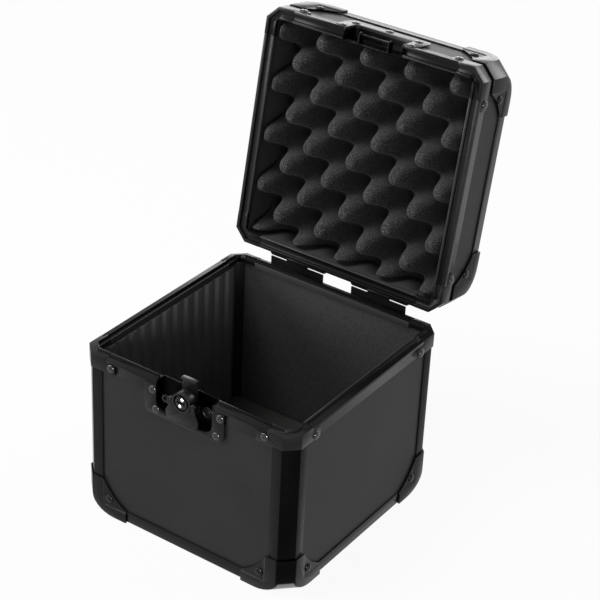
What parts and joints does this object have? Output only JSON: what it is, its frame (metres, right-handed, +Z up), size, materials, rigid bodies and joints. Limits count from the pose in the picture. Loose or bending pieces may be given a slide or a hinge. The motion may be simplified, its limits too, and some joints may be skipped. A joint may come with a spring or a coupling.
{
  "type": "record carrying case",
  "caption": "Small square carrying case for records, with a hinged foam-lined lid, metal edging and corners, a folding-wing latch and a carrying handle, shown open.",
  "frame": {"origin": "on the ground under the middle of the open case's bounding box", "axes": "+Z up out of the open box; -Y towards the latch at the front; +X to the right seen from the front, along the hinge axis"},
  "size_m": [0.213, 0.3022, 0.3781],
  "materials": {
    "laminate": "black pebbled laminate on plywood",
    "plywood": "black painted plywood",
    "black_aluminium": "black anodised extrusion, satin",
    "black_steel": "black powder-coated pressed steel, semi-gloss",
    "liner": "matt black",
    "foam": "open-cell charcoal foam",
    "rubber": "matt moulded grip"
  },
  "bodies": {
    "base": {"base_floor_panel": "plywood", "base_edging": "black_aluminium", "latch_dish": "black_steel", "left_rib_liner": "liner", "right_rib_liner": "liner", "base_front_panel": "laminate", "base_right_panel": "laminate", "base_back_panel": "laminate", "base_left_panel": "laminate", "base_post_front_left": "black_aluminium", "base_post_front_right": "black_aluminium", "base_post_back_right": "black_aluminium", "base_post_back_left": "black_aluminium", "base_brace_front_left": "black_steel", "base_brace_front_right": "black_steel", "base_brace_back_right": "black_steel", "base_brace_back_left": "black_steel", "base_cap_front_left": "black_steel", "base_cap_front_right": "black_steel", "base_cap_back_right": "black_steel", "base_cap_back_left": "black_steel", "base_rim_front_left": "black_aluminium", "base_rim_front_right": "black_aluminium", "base_rim_right": "black_aluminium", "base_rim_back": "black_aluminium", "base_rim_left": "black_aluminium", "hinge_left_lower_leaf": "black_steel", "hinge_left_pin": "black_steel", "hinge_right_lower_leaf": "black_steel", "hinge_right_pin": "black_steel"},
    "lid": {"lid_top_panel": "laminate", "lid_edging": "black_aluminium", "keeper_dish": "black_steel", "foam_pad": "foam", "handle_plate": "black_steel", "lid_front_wall": "laminate", "lid_right_wall": "laminate", "lid_back_wall": "laminate", "lid_left_wall": "laminate", "lid_brace_front_left": "black_steel", "lid_brace_front_right": "black_steel", "lid_brace_back_right": "black_steel", "lid_brace_back_left": "black_steel", "lid_cap_front_left": "black_steel", "lid_cap_front_right": "black_steel", "lid_cap_back_right": "black_steel", "lid_cap_back_left": "black_steel", "lid_rim_front_left": "black_aluminium", "lid_rim_front_right": "black_aluminium", "lid_rim_right": "black_aluminium", "lid_rim_back": "black_aluminium", "lid_rim_left": "black_aluminium", "hinge_left_upper_leaf": "black_steel", "hinge_right_upper_leaf": "black_steel"},
    "latch_rotor": {"latch_rotor": "black_steel"},
    "latch_wing": {"latch_wing": "black_steel"},
    "lock_plug": {"lock_plug": "black_steel"},
    "latch_slide": {"latch_slide": "black_steel"},
    "latch_hook": {"latch_hook": "black_steel"},
    "handle": {"handle_grip": "rubber"}
  },
  "joints": [
    {"name": "lid_hinge", "type": "hinge", "parent": "base", "child": "lid", "pos_m": [0, 0.06758, 0.1649], "axis": [1, 0, 0], "range_deg": [0, 100.7]},
    {"name": "rotor_turn", "type": "hinge", "parent": "base", "child": "latch_rotor", "pos_m": [0, -0.14642, 0.1482], "axis": [0, 1, 0], "range_deg": [0, 180]},
    {"name": "wing_fold", "type": "hinge", "parent": "latch_rotor", "child": "latch_wing", "pos_m": [0, -0.14922, 0.1482], "axis": [-1, 0, 0], "range_deg": [0, 90]},
    {"name": "lock_turn", "type": "hinge", "parent": "latch_rotor", "child": "lock_plug", "pos_m": [0, -0.14642, 0.1482], "axis": [0, 1, 0], "range_deg": [0, 90]},
    {"name": "slide_travel", "type": "slide", "parent": "base", "child": "latch_slide", "axis": [0, 0, -1], "range_m": [0, 0.002]},
    {"name": "hook_tilt", "type": "hinge", "parent": "latch_slide", "child": "latch_hook", "pos_m": [0, -0.14122, 0.1372], "axis": [1, 0, 0], "range_deg": [0, 5.4]},
    {"name": "handle_swing", "type": "hinge", "parent": "lid", "child": "handle", "pos_m": [0, 0.13862, 0.26241], "axis": [1, 0, 0], "range_deg": [-10.7, 79.3]}
  ],
  "couplings": [
    {"joint": "slide_travel", "follows": "rotor_turn", "m_per_rad": 0.00063662},
    {"joint": "hook_tilt", "follows": "rotor_turn", "ratio": 0.03}
  ]
}
